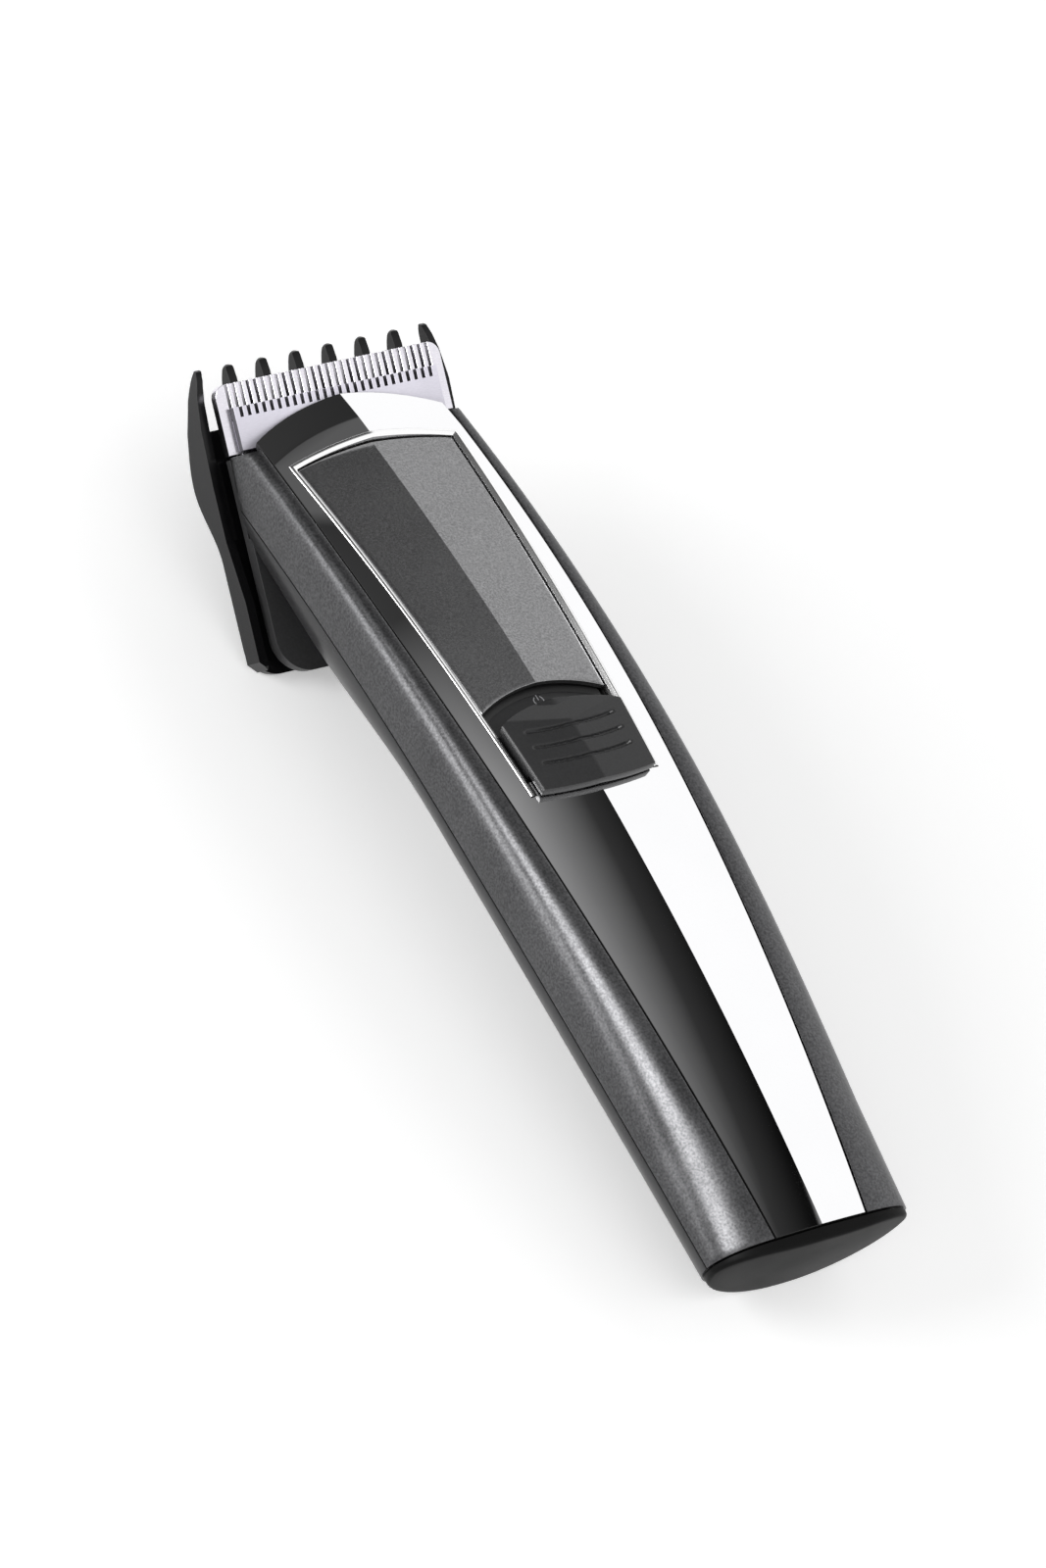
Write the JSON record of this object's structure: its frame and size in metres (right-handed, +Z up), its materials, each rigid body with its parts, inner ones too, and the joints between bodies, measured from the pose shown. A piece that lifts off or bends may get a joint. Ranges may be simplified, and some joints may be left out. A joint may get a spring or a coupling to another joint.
{
  "type": "hair clipper",
  "caption": "Cordless hair clipper with a mirror-finish front panel, thumb switch, sliding steel cutter and a clip-on guide comb, lying on its back.",
  "frame": {"origin": "under the middle of the clipper's bounding box, on the surface it lies on", "axes": "+X across the body, +Y from the bottom end towards the blade, +Z up, out of the front face"},
  "size_m": [0.047, 0.1736, 0.0331],
  "materials": {
    "mirror_chrome": "mirror",
    "bezel_chrome": "mirror",
    "plate_gunmetal": "metallic flake, satin",
    "shell_graphite": "metallic graphite, semi-gloss",
    "cover_black": "gloss black",
    "cap_grey": "satin",
    "switch_grey": "satin",
    "comb_black": "gloss black",
    "blade_steel": "ground",
    "cutter_steel": "ground",
    "holder_black": "satin",
    "screw_steel": "zinc plated",
    "spring_steel": "bright",
    "contact_brass": "polished",
    "chassis_black": "matt",
    "cell_sleeve": "shrink sleeve",
    "nickel": "bright",
    "board_green": "solder mask",
    "chip_black": "matt",
    "capacitor_can": "satin",
    "motor_steel": "zinc plated",
    "magnet": "matt",
    "bell_white": "matt",
    "bush_brass": "satin",
    "sleeve_rubber": "matt",
    "lead_red": "satin",
    "lead_black": "satin"
  },
  "bodies": {
    "housing": {"front_panel": "mirror_chrome", "plate_bezel": "bezel_chrome", "face_plate": "plate_gunmetal", "left_side_shell": "shell_graphite", "right_side_shell": "shell_graphite", "back_cover": "cover_black", "end_cap": "cap_grey", "fixed_blade": "blade_steel", "blade_holder": "holder_black", "blade_screws": "screw_steel", "blade_springs": "spring_steel", "case_screws": "screw_steel", "charge_contacts": "contact_brass", "chassis": "chassis_black", "cell_left": "cell_sleeve", "cell_right": "cell_sleeve", "cell_links": "nickel", "circuit_board": "board_green", "charge_chip": "chip_black", "board_capacitor": "capacitor_can", "board_screws": "screw_steel", "slide_switch_housing": "chip_black", "motor_can": "motor_steel", "motor_magnets": "magnet", "motor_end_bell": "bell_white", "motor_bushes": "bush_brass", "motor_terminals": "bush_brass", "motor_sleeve": "sleeve_rubber", "motor_screws": "screw_steel", "battery_leads": "lead_red", "motor_leads": "lead_black"},
    "cutter": {"moving_cutter": "cutter_steel", "drive_yoke": "bell_white"},
    "rotor": {"motor_shaft": "spring_steel", "rotor_core": "magnet", "commutator": "bush_brass", "eccentric_cam": "bell_white"},
    "switch": {"switch_button": "switch_grey", "slide_switch_lever": "chassis_black"},
    "comb": {"guide_comb": "comb_black"}
  },
  "joints": [
    {"name": "cutter_slide", "type": "slide", "parent": "housing", "child": "cutter", "axis": [1, 0, 0], "range_m": [-0.001, 0.001]},
    {"name": "motor_spin", "type": "hinge", "parent": "housing", "child": "rotor", "pos_m": [0, 0.03418, 0.0188], "axis": [0, 0.9976, 0.0689], "continuous": true},
    {"name": "switch_slide", "type": "slide", "parent": "housing", "child": "switch", "axis": [0, 0.9992, 0.041], "range_m": [0, 0.0034]},
    {"name": "comb_slide", "type": "slide", "parent": "housing", "child": "comb", "axis": [0, 0.8295, 0.5585], "range_m": [0, 0.048]}
  ]
}
